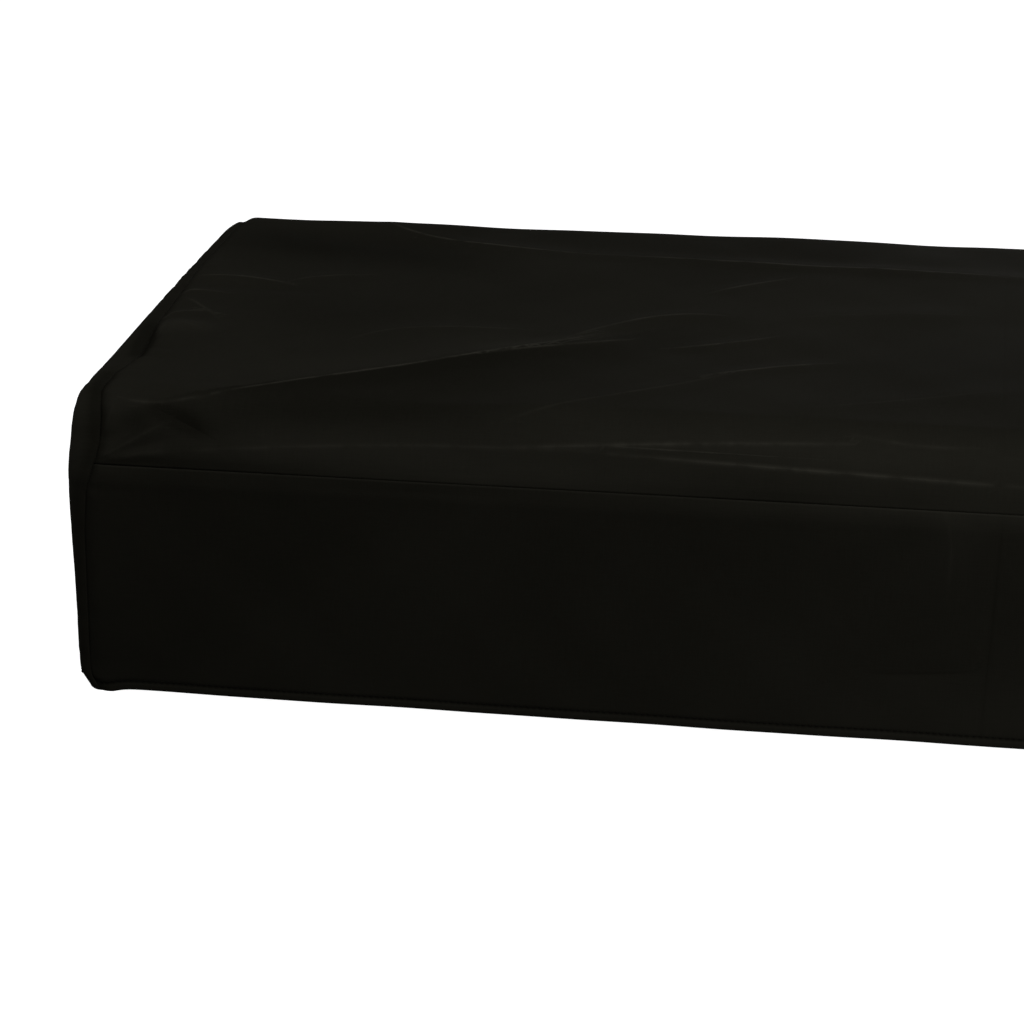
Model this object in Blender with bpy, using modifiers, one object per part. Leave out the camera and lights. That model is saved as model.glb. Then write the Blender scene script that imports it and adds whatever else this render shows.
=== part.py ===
"""Fitted cloth cover for a keyboard piano: a top panel and four side panels sewn edge to edge, open below.

Metres, +Z up, +X along the cover, front at -Y. The origin is on the underside of the top panel, in its
middle. Each panel starts as its flat cut, a grid, and is then laid over the cross-section of the instrument.
"""

import bmesh
import bpy
import numpy as np

# Driving dimensions
LENGTH = 1.371
DEPTH = 0.350
HEIGHT = 0.150
CLOTH = 0.002
SEAM_GAP = 0.0004

# How the cloth turns, as (distance along the cloth, heading in degrees from straight up towards the back).
# The front turn starts on the flat front wall, the back turn where the flat top ends.
FRONT_TURN = ((0.000, 0), (0.003, 8), (0.010, 14), (0.014, 21), (0.030, 27), (0.036, 42), (0.058, 90))
BACK_TURN = ((0.000, 90), (0.028, 180))
FRONT_SEAM_IN_TURN = 0.010
BACK_SEAM_IN_TURN = 0.030
WALK_STEP = 0.0005

# The two end panels roll over onto the top, front and back before their seam. Columns: distance along
# the cloth from the front seam, how far the seam lies in from the end.
END_SEAM = (
    (-0.110, 0.0065),
    (-0.030, 0.0065),
    (0.000, 0.0110),
    (0.030, 0.0090),
    (0.060, 0.0070),
    (0.096, 0.0115),
    (0.140, 0.0070),
    (0.250, 0.0045),
    (0.480, 0.0060),
)
ROLL_DROP = 0.006

# The roll of an end panel, row by row inward from its seam.
# Columns: share of the seam's inset, share of the roll's drop.
ROLL = ((1.00, 0.00), (0.55, 0.00), (0.15, 0.35), (0.00, 1.00))

# The ends lean in a little towards the top, and tuck in over the last stretch above the hem.
END_LEAN = 0.0014
TUCK = 0.0063
TUCK_RISE = 0.016
TUCK_POWER = 3.3

# The ends bow out between front and back. They also bulge by the upper front corner, at this distance from
# the front and below the top.
END_BOW = 0.0015
CORNER_BULGE = 0.0025
BULGE_PLACE = (0.035, 0.050)
BULGE_REACH = 0.041

# The back corners are round in plan, as (reach along the back, reach along the end).
BACK_CORNER = (0.0155, 0.040)

# Each seam is drawn in a little below the cloth beside it.
SEAM_DIP = 0.0010
SEAM_REACH = 0.008

# The cloth sags a little between the folds. Columns: height, wave length along, wave length across, phase.
SAGS = (
    (0.0006, 0.410, 0.310, 0.6),
    (0.0004, 0.230, 0.170, 2.1),
    (0.0005, 0.910, 0.240, 4.0),
)

# Main folds of the top panel. Columns: name, start, middle and end of the crease, each as distance from
# the left end and distance along the cloth from the front seam, then its height and half width.
# A negative height is a trough.
FOLDS = (
    ("shoulder crease, left", (0.015, 0.001), (0.150, 0.017), (0.300, 0.018), 0.0016, 0.009),
    ("shoulder crease, middle", (0.300, 0.018), (0.620, 0.013), (0.940, 0.016), 0.0014, 0.010),
    ("shoulder crease, right", (0.940, 0.016), (1.230, 0.017), (1.355, 0.001), 0.0014, 0.010),
    ("long slanting crease", (0.040, 0.032), (0.160, 0.096), (0.290, 0.203), 0.0024, 0.012),
    ("back crease, left", (0.105, 0.352), (0.170, 0.310), (0.300, 0.297), 0.0018, 0.012),
    ("back crease, middle", (0.300, 0.297), (0.520, 0.293), (0.760, 0.301), 0.0014, 0.014),
    ("second slanting crease", (0.216, 0.037), (0.284, 0.091), (0.360, 0.133), 0.0016, 0.012),
    ("hollow by the back corner", (0.040, 0.318), (0.075, 0.322), (0.130, 0.306), -0.0022, 0.020),
    ("hollow under the slanting crease", (0.110, 0.030), (0.190, 0.062), (0.270, 0.140), -0.0018, 0.024),
    ("corner pucker", (0.020, 0.006), (0.044, 0.015), (0.060, 0.030), 0.0016, 0.008),
    ("corner trough", (0.035, 0.031), (0.057, 0.024), (0.085, 0.012), -0.0020, 0.009),
    ("end pucker, front", (0.012, 0.149), (0.026, 0.163), (0.048, 0.170), 0.0020, 0.009),
    ("end pucker, back", (0.014, 0.226), (0.040, 0.232), (0.082, 0.250), 0.0016, 0.009),
    ("right long crease", (1.330, 0.040), (1.190, 0.110), (1.040, 0.185), 0.0018, 0.014),
    ("right back crease", (1.260, 0.340), (1.150, 0.305), (0.980, 0.296), 0.0014, 0.014),
    ("right end pucker", (1.357, 0.190), (1.325, 0.200), (1.290, 0.215), 0.0016, 0.010),
)
CREASE_STEPS = 24

# Columns of each panel. They lie closer over the first third, where the cloth is most creased, and by the ends.
TOP_COLUMNS = 64
FRONT_COLUMNS = 48
BACK_COLUMNS = 40
COLUMN_PLACES = ((-1.0, -0.9, 0.2, 0.9, 1.0), (-1.0, -0.975, -0.30, 0.975, 1.0))

# Rows of each panel. Those of a wall are shares of its height, closer above the hem, where the ends tuck in.
# An end panel has the rows of the panels it is sewn to, and its corners lie this many rows up the top panel.
WALL_ROWS = (0.00, 0.035, 0.08, 0.15, 0.55, 0.94, 1.00)
SHOULDER_ROWS = 6
FLAT_ROWS = 14
BACK_TURN_ROWS = 4
CORNER_ROW = 3

COLLECTION = "piano_cover"
CLOTH_COLOUR = (0.0085, 0.0080, 0.0062, 1.0)
CLOTH_ROUGHNESS = 0.9

HEM_Z = CLOTH - HEIGHT


def clear_scene():
    for obj in list(bpy.data.objects):
        bpy.data.objects.remove(obj, do_unlink=True)


def walk(turn):
    """Distance, run, rise and heading along one turn of the cloth."""
    far, headings = np.array(turn, float).T
    distance = np.arange(0, far[-1] + WALK_STEP / 2, WALK_STEP)
    middle = np.radians(np.interp(distance[:-1] + WALK_STEP / 2, far, headings))
    run = np.concatenate([[0], np.cumsum(np.sin(middle)) * WALK_STEP])
    rise = np.concatenate([[0], np.cumsum(np.cos(middle)) * WALK_STEP])
    return distance, run, rise, np.interp(distance, far, headings)


def cross_section():
    """The cloth's line from the front hem over the top to the back hem, and its two long seams."""
    front, front_run, front_rise, front_heading = walk(FRONT_TURN)
    back, back_run, back_rise, back_heading = walk(BACK_TURN)
    wall = HEIGHT - front_rise[-1]
    flat = DEPTH - front_run[-1] - back_run[-1]
    back_start = wall + front[-1] + flat
    total = back_start + back[-1] + HEIGHT + back_rise[-1]
    line = {
        "distance": np.concatenate([[0], wall + front, back_start + back, [total]]),
        "y": np.concatenate([[0], front_run, front_run[-1] + flat + back_run, [DEPTH]]) - DEPTH / 2,
        "z": np.concatenate([[0], wall + front_rise, HEIGHT + back_rise, [0]]) + HEM_Z,
        "heading": np.radians(np.concatenate([[0], front_heading, back_heading, [180]])),
    }
    places = {
        "front_seam": wall + FRONT_SEAM_IN_TURN,
        "flat_start": wall + front[-1],
        "flat_end": back_start,
        "back_seam": back_start + BACK_SEAM_IN_TURN,
        "back_hem": total,
    }
    return line, places


LINE, PLACE = cross_section()


def on_line(distance, inward=0.0):
    """Depth and height of a point of the cross-section, moved inward from the cloth's outer face."""
    y = np.interp(distance, LINE["distance"], LINE["y"])
    z = np.interp(distance, LINE["distance"], LINE["z"])
    heading = np.interp(distance, LINE["distance"], LINE["heading"])
    return y + inward * np.cos(heading), z - inward * np.sin(heading)


def end_x(z):
    """Half the cover's length at this height."""
    above_hem = z - HEM_Z
    tuck = TUCK * max(0.0, 1 - above_hem / TUCK_RISE) ** TUCK_POWER
    return LENGTH / 2 - END_LEAN * above_hem / HEIGHT - tuck


def seam_inset(distance):
    across, inset = np.array(END_SEAM).T
    return float(np.interp(distance - PLACE["front_seam"], across, inset))


def crease_line(start, middle, end):
    """Points on the curve that passes through a crease's three places."""
    t = np.linspace(0, 1, CREASE_STEPS)[:, None]
    start, middle, end = (np.array(place) for place in (start, middle, end))
    pull = 2 * middle - (start + end) / 2
    return (1 - t) ** 2 * start + 2 * t * (1 - t) * pull + t**2 * end


CREASES = [(crease_line(*fold[1:4]), fold[4], fold[5]) for fold in FOLDS]


def row_distances():
    """Distance along the cloth of each row of the front, top and back panels."""
    seams = (PLACE["front_seam"], PLACE["back_seam"])
    walls = np.array(WALL_ROWS)
    shoulder = np.linspace(seams[0] + SEAM_GAP / 2, PLACE["flat_start"], SHOULDER_ROWS + 1)
    flat = np.linspace(PLACE["flat_start"], PLACE["flat_end"], FLAT_ROWS + 1)
    back_turn = np.linspace(PLACE["flat_end"], seams[1] - SEAM_GAP / 2, BACK_TURN_ROWS + 1)
    return {
        "front": walls * (seams[0] - SEAM_GAP / 2),
        "top": np.concatenate([shoulder, flat[1:], back_turn[1:]]),
        "back": PLACE["back_hem"] - walls[::-1] * (PLACE["back_hem"] - seams[1] - SEAM_GAP / 2),
    }


ROWS = row_distances()
RIM_ROWS = np.concatenate([ROWS["front"], ROWS["top"][1:], ROWS["back"][1:]])
SIDE_ROWS = len(WALL_ROWS) - 1 + CORNER_ROW
END_COLUMNS = len(RIM_ROWS) - 1 - 2 * SIDE_ROWS


def crease_lift(from_left, across):
    """How far the folds raise the top panel here."""
    lift = 0.0
    here = np.array([from_left, across])
    for line, height, half_width in CREASES:
        away = np.linalg.norm(line - here, axis=1)
        nearest = int(away.argmin())
        along = nearest / (CREASE_STEPS - 1)
        taper = np.sin(np.pi * np.clip(along, 0.08, 0.92)) ** 0.5
        lift += height * taper * np.exp(-((away[nearest] / half_width) ** 2))
    return lift


def sag_lift(x, across):
    return sum(
        height * np.sin(2 * np.pi * x / wave_along + phase) * np.cos(2 * np.pi * across / wave_across + phase)
        for height, wave_along, wave_across, phase in SAGS
    )


def round_corners(x, y):
    """Moves a point in from the square back corner of the plan to the rounded one."""
    along, deep = BACK_CORNER
    u = max(0.0, abs(x) - LENGTH / 2 + along) / along
    v = max(0.0, y - DEPTH / 2 + deep) / deep
    pull = 1 - max(u, v) / max(np.hypot(u, v), 1e-9)
    return x - np.sign(x) * along * u * pull, y - deep * v * pull


def seam_dip(away):
    return SEAM_DIP * max(0.0, 1 - away / SEAM_REACH) ** 2


def to_long_seam(distance):
    return min(abs(distance - PLACE["front_seam"]), abs(distance - PLACE["back_seam"]))


def row_at(rows, v):
    """The row that v, from -1 to 1, stands for."""
    return np.interp((v + 1) / 2 * (len(rows) - 1), np.arange(len(rows)), rows)


def wall_place(u, distance, creased):
    """A point of the front, top or back panel: u runs from the left seam to the right one."""
    share = np.interp(u, *COLUMN_PLACES)
    z = on_line(distance)[1]
    half = end_x(z) - seam_inset(distance) - SEAM_GAP / 2
    x = share * half
    across = distance - PLACE["front_seam"]
    from_end = half - abs(x)
    to_seam = to_long_seam(distance)
    lift = sag_lift(x, across)
    if creased:
        lift += crease_lift(x + LENGTH / 2, across)
    lift *= min(1.0, from_end / SEAM_REACH, to_seam / SEAM_REACH)
    y, z = on_line(distance, seam_dip(from_end) + seam_dip(to_seam) - lift)
    return *round_corners(x, y), z


def top_place(u, v):
    return wall_place(u, row_at(ROWS["top"], v), creased=True)


def front_place(u, v):
    return wall_place(u, row_at(ROWS["front"], v), creased=False)


def back_place(u, v):
    return wall_place(u, row_at(ROWS["back"], v), creased=False)


def rim_distance(a, b, ring):
    """Where a point of a ring of the end panel meets the cross-section."""
    if b >= abs(a):
        row = SIDE_ROWS + (a / ring + 1) / 2 * END_COLUMNS
    elif a < 0:
        row = b / ring * SIDE_ROWS
    else:
        row = len(RIM_ROWS) - 1 - b / ring * SIDE_ROWS
    return np.interp(row, np.arange(len(RIM_ROWS)), RIM_ROWS)


def inside_roll(a, b):
    """A point of the flat of an end panel: a from -1 at the front to 1, b from 0 at the hem to 1, between
    the four sides of the roll's inner edge."""

    def edge(a, b):
        return np.array(on_line(rim_distance(a, b, 1.0), ROLL_DROP))

    u = (a + 1) / 2
    across = (1 - u) * edge(-1, b) + u * edge(1, b)
    across_top = (1 - u) * edge(-1, 1) + u * edge(1, 1)
    return across + b * (edge(a, 1) - across_top)


def end_place(a, b, side):
    """A point of an end panel: a runs from front to back, b from the hem up. Its outer rows are the roll."""
    ring = max(abs(a), b)
    rows_in = (1 - ring) * SIDE_ROWS
    flat_ring = 1 - (len(ROLL) - 1) / SIDE_ROWS
    if ring < flat_ring:
        inset, drop_share = 0.0, 1.0
        y, z = inside_roll(a / flat_ring, b / flat_ring)
    else:
        distance = rim_distance(a, b, ring)
        inset_share, drop_share = (np.interp(rows_in, range(len(ROLL)), share) for share in zip(*ROLL))
        inset = inset_share * (seam_inset(distance) - SEAM_GAP / 2)
        dip = (SEAM_DIP + seam_dip(to_long_seam(distance))) * max(0.0, 1 - rows_in)
        y, z = on_line(distance, drop_share * ROLL_DROP + dip)
    corner = np.hypot(y + DEPTH / 2 - BULGE_PLACE[0], z - CLOTH + BULGE_PLACE[1])
    bulge = CORNER_BULGE * np.exp(-((corner / BULGE_REACH) ** 2))
    bow = END_BOW * max(0.0, 1 - (2 * y / DEPTH) ** 2)
    return *round_corners(side * (end_x(z) + (bulge + bow) * drop_share - inset), y), z


def left_end_place(u, v):
    return end_place(-u, (v + 1) / 2, side=-1)


def right_end_place(u, v):
    return end_place(u, (v + 1) / 2, side=1)


def cloth_material():
    material = bpy.data.materials.new("black_cloth")
    material.use_nodes = True
    shader = material.node_tree.nodes["Principled BSDF"]
    shader.inputs["Base Color"].default_value = CLOTH_COLOUR
    shader.inputs["Roughness"].default_value = CLOTH_ROUGHNESS
    shader.inputs["Metallic"].default_value = 0.0
    return material


def panel(name, columns, rows, place, material, collection):
    """One panel: its flat cut as a grid, laid in place, then given the cloth's thickness inward."""
    mesh = bpy.data.meshes.new(name)
    shape = bmesh.new()
    bmesh.ops.create_grid(shape, x_segments=columns, y_segments=rows, size=1.0)
    for vert in shape.verts:
        vert.co = place(vert.co.x, vert.co.y)
    shape.to_mesh(mesh)
    shape.free()
    mesh.shade_smooth()
    mesh.materials.append(material)
    obj = bpy.data.objects.new(name, mesh)
    collection.objects.link(obj)
    solidify = obj.modifiers.new("thickness", "SOLIDIFY")
    solidify.thickness = CLOTH
    solidify.offset = -1
    return obj


def build():
    clear_scene()
    collection = bpy.data.collections.new(COLLECTION)
    bpy.context.scene.collection.children.link(collection)
    material = cloth_material()
    walls = (
        ("front_panel", FRONT_COLUMNS, len(ROWS["front"]) - 1, front_place),
        ("top_panel", TOP_COLUMNS, len(ROWS["top"]) - 1, top_place),
        ("back_panel", BACK_COLUMNS, len(ROWS["back"]) - 1, back_place),
        ("left_end_panel", END_COLUMNS, SIDE_ROWS, left_end_place),
        ("right_end_panel", END_COLUMNS, SIDE_ROWS, right_end_place),
    )
    for name, columns, rows, place in walls:
        panel(name, columns, rows, place, material, collection)


build()
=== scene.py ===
"""Looks of a fitted cloth cover for a keyboard piano: five sewn panels of black plain-woven cloth.

Metres, +Z up, +X along the cover, front at -Y, origin on the underside of the top panel, as in the frame.
Each panel is its flat cut, a fine grid, laid over the cover's cross-section and then raised into folds.
"""

import math

import bpy
import numpy as np
from mathutils import Euler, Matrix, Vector

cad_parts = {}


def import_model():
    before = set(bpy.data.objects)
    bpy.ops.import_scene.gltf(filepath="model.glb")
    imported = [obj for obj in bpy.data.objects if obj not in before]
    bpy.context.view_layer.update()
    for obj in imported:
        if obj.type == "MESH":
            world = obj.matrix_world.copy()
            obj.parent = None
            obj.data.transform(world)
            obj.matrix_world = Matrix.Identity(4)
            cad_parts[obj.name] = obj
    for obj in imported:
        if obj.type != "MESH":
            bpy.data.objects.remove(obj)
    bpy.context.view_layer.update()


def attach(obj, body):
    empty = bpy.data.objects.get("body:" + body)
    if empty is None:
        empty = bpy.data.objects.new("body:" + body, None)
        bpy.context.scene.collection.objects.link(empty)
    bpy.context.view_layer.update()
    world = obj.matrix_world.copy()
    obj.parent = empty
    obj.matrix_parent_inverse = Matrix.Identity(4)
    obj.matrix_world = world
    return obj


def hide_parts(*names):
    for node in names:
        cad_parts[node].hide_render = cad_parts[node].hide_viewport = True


# The cover's outside, and the cloth.
LENGTH = 1.371
DEPTH = 0.350
HEIGHT = 0.150
OUTER_TOP = 0.002
CLOTH = 0.0010
HEM_Z = OUTER_TOP - HEIGHT

# How the cloth turns, as (distance along the cloth, heading in degrees from straight up towards the back).
# The front turn starts on the flat front wall, the back turn where the flat top ends.
FRONT_TURN = ((0.000, 0), (0.003, 8), (0.010, 14), (0.014, 21), (0.030, 27), (0.036, 42), (0.058, 90))
BACK_TURN = ((0.000, 90), (0.028, 180))
FRONT_SEAM_IN_TURN = 0.010
BACK_SEAM_IN_TURN = 0.030
WALK_STEP = 0.0005

# How far each end's seam lies in from the end. Columns: distance along the cloth from the front seam, inset.
END_SEAM = (
    (-0.110, 0.0065),
    (-0.035, 0.0068),
    (-0.014, 0.0085),
    (0.003, 0.0132),
    (0.012, 0.0145),
    (0.024, 0.0140),
    (0.041, 0.0110),
    (0.064, 0.0110),
    (0.074, 0.0138),
    (0.096, 0.0158),
    (0.118, 0.0140),
    (0.140, 0.0110),
    (0.250, 0.0062),
    (0.480, 0.0070),
)
ROLL_DROP = 0.006

# The ends lean in a little towards the top, and tuck in over the last stretch above the hem.
END_LEAN = 0.0014
TUCK = 0.0063
TUCK_RISE = 0.016
TUCK_POWER = 3.3
END_BOW = 0.0015
# The ends bulge by the upper front corner, at this distance from the front and below the top.
CORNER_BULGE = 0.0025
BULGE_PLACE = (0.035, 0.050)
BULGE_REACH = 0.041

# How deep the end seam draws in, and how dark the painted shade beside it is, in the same places.
# Columns: distance, share of the most.
END_SEAM_DRAW = (
    (-0.110, 0.15), (-0.010, 0.20), (0.004, 0.55), (0.022, 0.80), (0.048, 0.70), (0.062, 0.55), (0.072, 0.15),
    (0.086, 0.20), (0.098, 0.90), (0.112, 1.00), (0.136, 0.95), (0.148, 0.30), (0.190, 0.40), (0.230, 0.25),
    (0.480, 0.30),
)
# The least and the most dip of the end seam, and the dip of the two long seams.
END_SEAM_DIP = (0.0009, 0.0026)
LONG_SEAM_DIP = 0.00022
SEAM_REACH = 0.0035
# The painted shade by the end seam: its strength, its reach on the panels, and its place and reach on the
# roll.
END_SEAM_SHADE = 0.85
SHADE_REACH = 0.0022
SHADE_ON_ROLL = (0.0028, 0.0038)
# Folds and sags start this far from a seam.
LIFT_START = 0.005
# Puckers along the seams: their heights, how far they reach, and the length of their groups.
LONG_SEAM_PUCKER = 0.00012
END_SEAM_PUCKER = 0.00060
PUCKER_REACH = 0.011
PUCKER_START = 0.002
PUCKER_GROUPS = 0.19
PUCKER_GROUP_DEPTH = 0.45
# Columns: wave length along the seam, share of the pucker's height.
PUCKER_WAVES = ((0.0068, 0.5), (0.0115, 0.8), (0.0230, 1.0), (0.0410, 0.7))

# Hems: a fold with round edge, turned up inside and stitched.
HEM_RADIUS = 0.0011
HEM_TURN = 0.0065
HEM_ANGLES = np.linspace(0, math.pi, 7)[1:]
HEM_ROWS = len(HEM_ANGLES) + 3
HEM_STITCH = 0.0045
STITCH_DENT = 0.00038
STITCH_DENT_WIDTH = 0.0011
STITCH_LENGTH = 0.0023
STITCH_PITCH = 0.0031
STITCH_RADIUS = 0.00024
STITCH_SIDES = 6
STITCH_SPREAD = (0.92, 1.08)
STITCH_SINK = 1.6
# Columns: share of a stitch's length, share of its radius.
STITCH_PROFILE = ((0.0, 0.3), (0.18, 0.95), (0.5, 1.1), (0.82, 0.95), (1.0, 0.3))
# The hem hangs lower here, as (distance from the cover's end, drop, half width), and the drop fades upward.
HEM_DROOP = (0.0136, 0.0023, 0.0077)
HEM_DROOP_RISE = 0.03

# The cover's back corners are round in plan, as (reach along the back, reach along the end).
BACK_CORNER = (0.0155, 0.040)

# The cloth sags a little between the folds. Columns: height, wave length along, wave length across, phase.
SAGS = (
    (0.0006, 0.410, 0.310, 0.6),
    (0.0004, 0.230, 0.170, 2.1),
    (0.0005, 0.910, 0.240, 4.0),
    (0.00025, 0.117, 0.093, 1.2),
    (0.00012, 0.061, 0.052, 5.1),
)

# Folds of the top panel. Columns: name, start, middle and end, each as distance from the left end and
# distance along the cloth from the front seam, then height, half width, and the sharpness of the crest,
# 0 to 1. A negative height is a trough.
FOLDS = (
    ("shoulder crease, left", (0.022, 0.004), (0.147, 0.016), (0.262, 0.018), 0.0011, 0.009, 0.30),
    ("shoulder crease, middle", (0.262, 0.018), (0.366, 0.015), (0.453, 0.013), 0.0012, 0.009, 0.80),
    ("shoulder crease, right", (0.453, 0.013), (0.700, 0.012), (0.920, 0.016), 0.0012, 0.010, 0.55),
    ("shoulder crease, far right", (0.920, 0.016), (1.200, 0.018), (1.355, 0.001), 0.0012, 0.010, 0.6),
    ("shoulder crease, second", (0.205, 0.018), (0.293, 0.024), (0.376, 0.029), 0.0009, 0.006, 0.7),
    ("shoulder crease, third", (0.377, 0.034), (0.406, 0.030), (0.433, 0.031), 0.0006, 0.006, 0.3),
    ("long slanting crease, start", (0.024, 0.034), (0.044, 0.032), (0.067, 0.038), 0.0012, 0.008, 0.40),
    ("long slanting crease", (0.062, 0.035), (0.175, 0.104), (0.240, 0.156), 0.0019, 0.010, 1.0),
    ("long slanting crease, end", (0.225, 0.145), (0.261, 0.188), (0.300, 0.200), 0.0013, 0.008, 0.6),
    ("slanting crease, branch", (0.190, 0.112), (0.226, 0.134), (0.258, 0.154), 0.0011, 0.006, 0.7),
    ("back crease, left", (0.096, 0.349), (0.146, 0.316), (0.231, 0.300), 0.0012, 0.008, 0.9),
    ("back crease, middle", (0.225, 0.301), (0.338, 0.295), (0.453, 0.292), 0.0011, 0.008, 0.8),
    ("back crease, right", (0.453, 0.292), (0.620, 0.290), (0.830, 0.298), 0.0011, 0.010, 0.6),
    ("second slanting crease", (0.214, 0.034), (0.265, 0.067), (0.311, 0.104), 0.0009, 0.009, 0.3),
    ("second slanting crease, end", (0.300, 0.100), (0.330, 0.118), (0.362, 0.131), 0.0010, 0.007, 0.7),
    ("third slanting crease", (0.276, 0.143), (0.302, 0.152), (0.330, 0.169), 0.0009, 0.007, 0.6),
    ("fourth slanting crease", (0.290, 0.239), (0.306, 0.253), (0.332, 0.272), 0.0007, 0.006, 0.6),
    ("short crease", (0.118, 0.132), (0.155, 0.156), (0.217, 0.158), 0.0007, 0.007, 0.3),
    ("low swell, first", (0.330, 0.200), (0.380, 0.215), (0.440, 0.222), 0.0007, 0.012, 0.15),
    ("low swell, second", (0.355, 0.060), (0.400, 0.078), (0.452, 0.100), 0.0007, 0.012, 0.15),
    ("hollow by the back corner", (0.040, 0.318), (0.075, 0.322), (0.130, 0.306), -0.0020, 0.018, 0.0),
    ("hollow under the slanting crease", (0.110, 0.030), (0.190, 0.062), (0.270, 0.140), -0.0020, 0.022, 0.0),
    ("corner pucker", (0.018, 0.004), (0.030, 0.011), (0.050, 0.023), 0.0011, 0.0050, 0.25),
    ("corner pucker, low", (0.017, 0.002), (0.036, 0.006), (0.058, 0.010), 0.0006, 0.0035, 0.2),
    ("corner groove", (0.018, 0.003), (0.033, 0.009), (0.052, 0.015), -0.0008, 0.0030, 0.2),
    ("corner groove, upright", (0.017, 0.005), (0.023, 0.015), (0.032, 0.026), -0.0007, 0.0035, 0.2),
    ("corner trough", (0.042, 0.029), (0.056, 0.023), (0.071, 0.016), -0.0018, 0.0050, 0.9),
    ("corner pucker, upright", (0.016, 0.006), (0.018, 0.018), (0.022, 0.030), 0.0008, 0.0040, 0.1),
    ("end pucker, first", (0.010, 0.127), (0.023, 0.141), (0.040, 0.134), 0.0019, 0.0080, 0.2),
    ("end pucker, upper line", (0.011, 0.152), (0.022, 0.164), (0.042, 0.162), 0.0009, 0.0040, 0.8),
    ("end pucker, second", (0.012, 0.200), (0.021, 0.201), (0.036, 0.199), 0.0010, 0.0045, 0.8),
    ("end pucker, second branch", (0.014, 0.188), (0.024, 0.179), (0.041, 0.156), 0.0008, 0.0050, 0.4),
    ("end pucker, third", (0.015, 0.229), (0.038, 0.228), (0.066, 0.220), 0.0012, 0.0060, 0.7),
    ("end pucker, fourth", (0.064, 0.224), (0.078, 0.236), (0.104, 0.246), 0.0009, 0.0070, 0.4),
    ("end notch, first", (0.012, 0.119), (0.017, 0.127), (0.020, 0.140), -0.0020, 0.0045, 0.2),
    ("end notch, second", (0.012, 0.112), (0.021, 0.110), (0.033, 0.104), -0.0012, 0.0050, 0.2),
    ("end notch, third", (0.017, 0.097), (0.024, 0.093), (0.034, 0.088), -0.0009, 0.0040, 0.2),
    ("end hollow", (0.020, 0.212), (0.045, 0.214), (0.080, 0.208), -0.0012, 0.008, 0.0),
    ("packing crease across the top", (0.444, 0.000), (0.4455, 0.190), (0.447, 0.372), -0.00015, 0.004, 0.1),
    ("second crease across the top", (0.915, 0.000), (0.913, 0.190), (0.914, 0.372), -0.00015, 0.004, 0.1),
    ("right long crease", (1.330, 0.040), (1.190, 0.100), (1.040, 0.185), 0.0018, 0.011, 0.8),
    ("right back crease", (1.262, 0.344), (1.150, 0.309), (0.960, 0.298), 0.0013, 0.009, 0.7),
    ("right corner trough", (1.333, 0.034), (1.308, 0.023), (1.282, 0.013), -0.0014, 0.006, 0.5),
    ("right corner pucker", (1.352, 0.004), (1.338, 0.012), (1.318, 0.024), 0.0010, 0.005, 0.25),
    ("right end pucker, first", (1.357, 0.168), (1.340, 0.178), (1.306, 0.184), 0.0014, 0.007, 0.5),
    ("right end pucker, second", (1.357, 0.232), (1.338, 0.236), (1.296, 0.226), 0.0012, 0.007, 0.6),
    ("right end notch", (1.356, 0.118), (1.346, 0.116), (1.334, 0.110), -0.0012, 0.0045, 0.3),
    ("middle crease, front", (0.560, 0.060), (0.660, 0.085), (0.780, 0.092), 0.0010, 0.011, 0.5),
    ("middle crease, back", (0.640, 0.210), (0.760, 0.236), (0.880, 0.240), 0.0010, 0.011, 0.4),
    ("right middle crease", (0.960, 0.075), (1.060, 0.110), (1.150, 0.170), 0.0010, 0.010, 0.5),
    ("hollow by the right back corner", (1.330, 0.318), (1.295, 0.322), (1.240, 0.306), -0.0018, 0.018, 0.0),
)
FOLD_STEPS = 28
FOLD_TAPER = (0.04, 0.96)
CREST_REACH = 0.008
# The crest's bump, painted highlight and painted trough shade die away between these distances from it.
CREST_EDGE = (0.0035, 0.0055)

# Folds of the front panel, in the same columns. The distance is upward from the hem.
FRONT_FOLDS = (
    ("packing crease", (0.4465, 0.116), (0.4450, 0.070), (0.4425, 0.004), -0.0004, 0.0035, 0.5),
    ("second packing crease", (0.915, 0.116), (0.913, 0.070), (0.916, 0.004), -0.0003, 0.0035, 0.5),
    ("short level crease", (0.390, 0.0345), (0.416, 0.036), (0.440, 0.0385), -0.0004, 0.003, 0.4),
    ("hang, first", (0.420, 0.117), (0.424, 0.100), (0.423, 0.080), 0.0007, 0.005, 0.15),
    ("hang, second", (0.462, 0.117), (0.466, 0.098), (0.465, 0.075), 0.0006, 0.005, 0.1),
    ("hang, third", (0.700, 0.117), (0.705, 0.090), (0.703, 0.060), 0.0006, 0.007, 0.1),
    ("hang, fourth", (1.190, 0.117), (1.187, 0.085), (1.192, 0.050), 0.0006, 0.008, 0.1),
)
BACK_FOLDS = (
    ("back packing crease", (0.452, 0.126), (0.450, 0.070), (0.453, 0.004), -0.0005, 0.004, 0.6),
    ("back second packing crease", (0.914, 0.126), (0.916, 0.070), (0.913, 0.004), -0.0005, 0.004, 0.6),
    ("back hang, first", (0.250, 0.126), (0.254, 0.095), (0.252, 0.060), 0.0006, 0.008, 0.2),
    ("back hang, second", (1.090, 0.126), (1.086, 0.090), (1.089, 0.050), 0.0006, 0.008, 0.2),
)

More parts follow.
